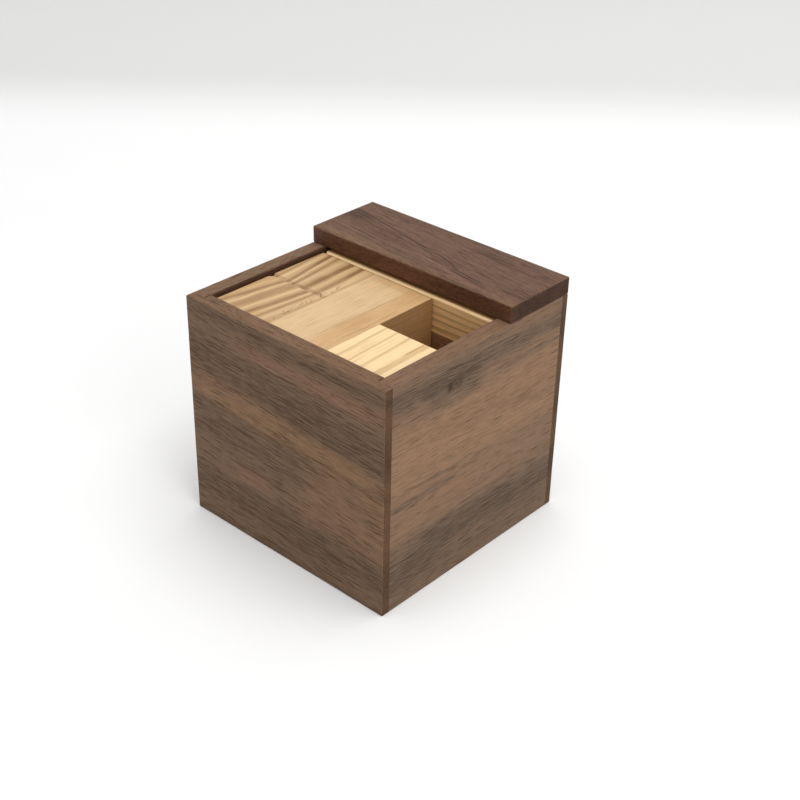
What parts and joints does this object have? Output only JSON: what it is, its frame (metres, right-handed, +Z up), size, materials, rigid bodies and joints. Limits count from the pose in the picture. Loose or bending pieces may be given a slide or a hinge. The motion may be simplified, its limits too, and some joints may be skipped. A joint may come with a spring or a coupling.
{
  "type": "wooden puzzle box",
  "caption": "Open-topped square wooden box packed with glued-up cubes and sticks that lift out, with a bar across the back of the rim and one empty cell as a finger hole.",
  "frame": {"origin": "centre of the underside, on the surface that the box stands on", "axes": "+Z up through the open top; +Y towards the wall under the bar; +X towards the side with the finger hole"},
  "size_m": [0.07, 0.07, 0.0709],
  "materials": {
    "walnut_walls": "oiled walnut, horizontal grain with dark bands and pores",
    "walnut_bar": "oiled walnut, redder, grain along the bar",
    "walnut_pieces": "sanded red-brown walnut",
    "ash_plain": "sanded light wood with soft brown lines",
    "ash_striped": "sanded light wood with strong brown stripes",
    "ash_pale": "sanded pale cream wood"
  },
  "bodies": {
    "box": {"front_panel": "walnut_walls", "rear_panel": "walnut_walls", "left_panel": "walnut_walls", "right_panel": "walnut_walls", "bottom_panel": "walnut_walls", "top_bar": "walnut_bar", "rear_top_stick_face": "ash_plain", "rear_top_stick_core": "walnut_pieces", "rear_middle_stick": "ash_plain", "rear_bottom_stick": "walnut_pieces"},
    "base_stick": {"right_base_stick": "ash_plain"},
    "hook_piece": {"hook_piece_front_stick": "walnut_pieces", "hook_piece_rear_stick": "walnut_pieces", "hook_piece_arm": "walnut_pieces"},
    "middle_stick": {"front_middle_stick": "ash_plain"},
    "top_piece": {"top_piece_front_cube": "ash_striped", "top_piece_rear_cube": "ash_striped", "top_piece_long_stick": "ash_plain", "top_piece_pale_cube": "ash_pale", "top_piece_leg_cube": "ash_plain"}
  },
  "joints": [
    {"name": "right_base_stick_lift", "type": "slide", "parent": "box", "child": "base_stick", "axis": [0, 0, 1], "range_m": [0, 0.07]},
    {"name": "hook_piece_lift", "type": "slide", "parent": "base_stick", "child": "hook_piece", "axis": [0, 0, 1], "range_m": [0, 0.07]},
    {"name": "front_middle_stick_lift", "type": "slide", "parent": "hook_piece", "child": "middle_stick", "axis": [0, 0, 1], "range_m": [0, 0.05]},
    {"name": "top_piece_lift", "type": "slide", "parent": "middle_stick", "child": "top_piece", "axis": [0, 0, 1], "range_m": [0, 0.05]}
  ]
}
